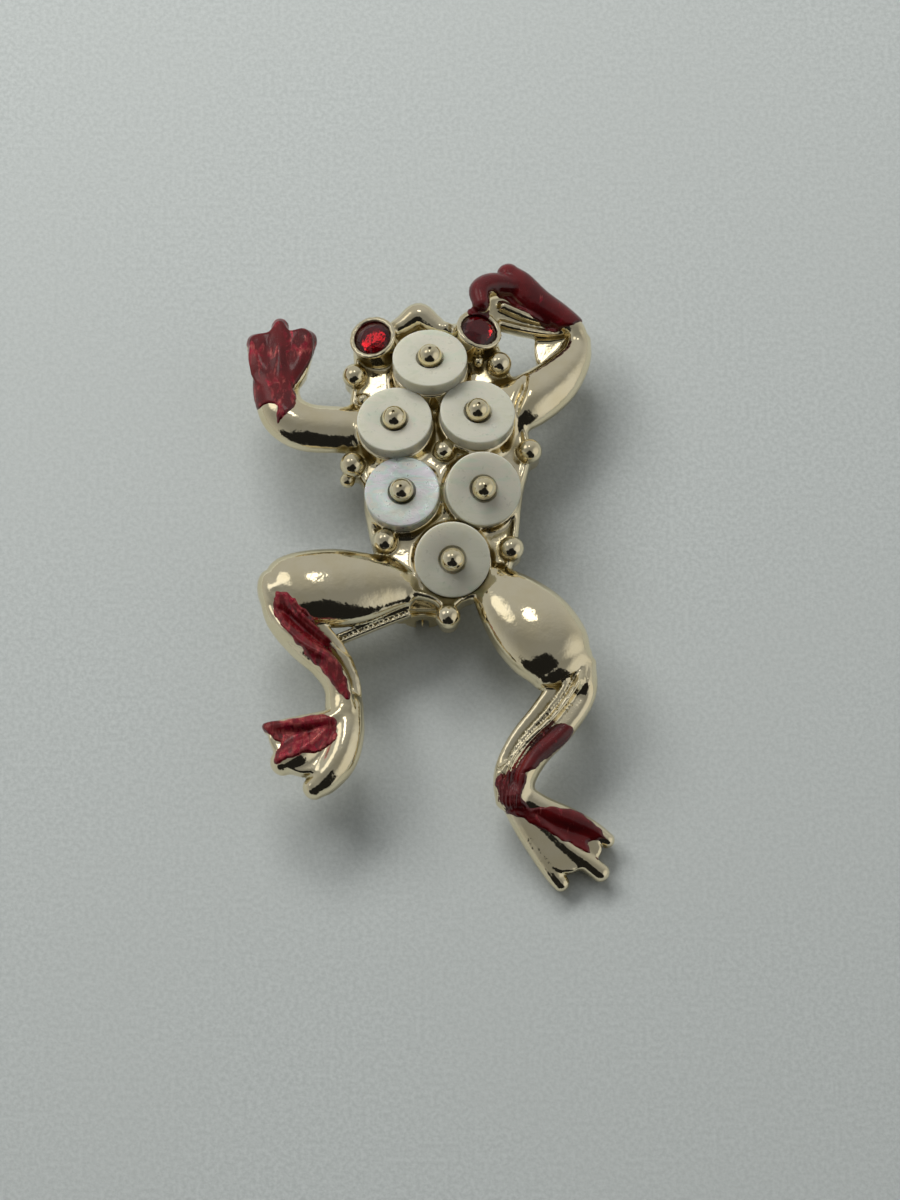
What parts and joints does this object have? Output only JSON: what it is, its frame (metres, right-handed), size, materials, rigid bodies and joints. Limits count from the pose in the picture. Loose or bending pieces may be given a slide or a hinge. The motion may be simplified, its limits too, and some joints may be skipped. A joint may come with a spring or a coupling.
{
  "type": "frog brooch",
  "caption": "Cast gold-tone leaping frog brooch with pearl discs on ball studs, red stone eyes, red enamel hands and feet, and a hinged pin with a turning safety catch.",
  "frame": {"origin": "under the middle of the whole brooch, on the surface that it lies on, below its catch", "axes": "+Z away from the wearer's cloth, out of the discs' faces; +Y along the pin from the catch to the hinge, towards the frog's head; +X to the right as it is looked at with the head up"},
  "size_m": [0.0378, 0.0661, 0.0114],
  "materials": {
    "gold_plate": "mirror-polished pale gold plate over white metal",
    "mother_of_pearl": "satin, iridescent ivory white",
    "red_glass": "faceted, foil-backed",
    "red_enamel": "glossy translucent deep red with fine sparkle",
    "pin_metal": "bright plated, lightly brushed"
  },
  "bodies": {
    "frog": {"frog_casting": "gold_plate", "pearl_disc_1": "mother_of_pearl", "pearl_disc_2": "mother_of_pearl", "pearl_disc_3": "mother_of_pearl", "pearl_disc_4": "mother_of_pearl", "pearl_disc_5": "mother_of_pearl", "pearl_disc_6": "mother_of_pearl", "disc_stud_1": "gold_plate", "disc_stud_2": "gold_plate", "disc_stud_3": "gold_plate", "disc_stud_4": "gold_plate", "disc_stud_5": "gold_plate", "disc_stud_6": "gold_plate", "eye_stone_left": "red_glass", "eye_stone_right": "red_glass", "enamel_left_hand": "red_enamel", "enamel_right_hand": "red_enamel", "enamel_left_shin": "red_enamel", "enamel_left_foot": "red_enamel", "enamel_right_shin": "red_enamel", "enamel_right_foot": "red_enamel", "pin_joint": "pin_metal", "joint_rivet": "pin_metal", "catch_base": "pin_metal"},
    "pin": {"pin_stem": "pin_metal"},
    "catch": {"catch_rotor": "pin_metal"}
  },
  "joints": [
    {"name": "pin_swing", "type": "hinge", "parent": "frog", "child": "pin", "pos_m": [-0.00076, 0.02282, 0.00199], "axis": [1, 0, 0], "range_deg": [0, 95]},
    {"name": "catch_turn", "type": "hinge", "parent": "frog", "child": "catch", "pos_m": [-0.00076, -0.00318, 0.00199], "axis": [0, -1, 0], "range_deg": [0, 90]}
  ]
}
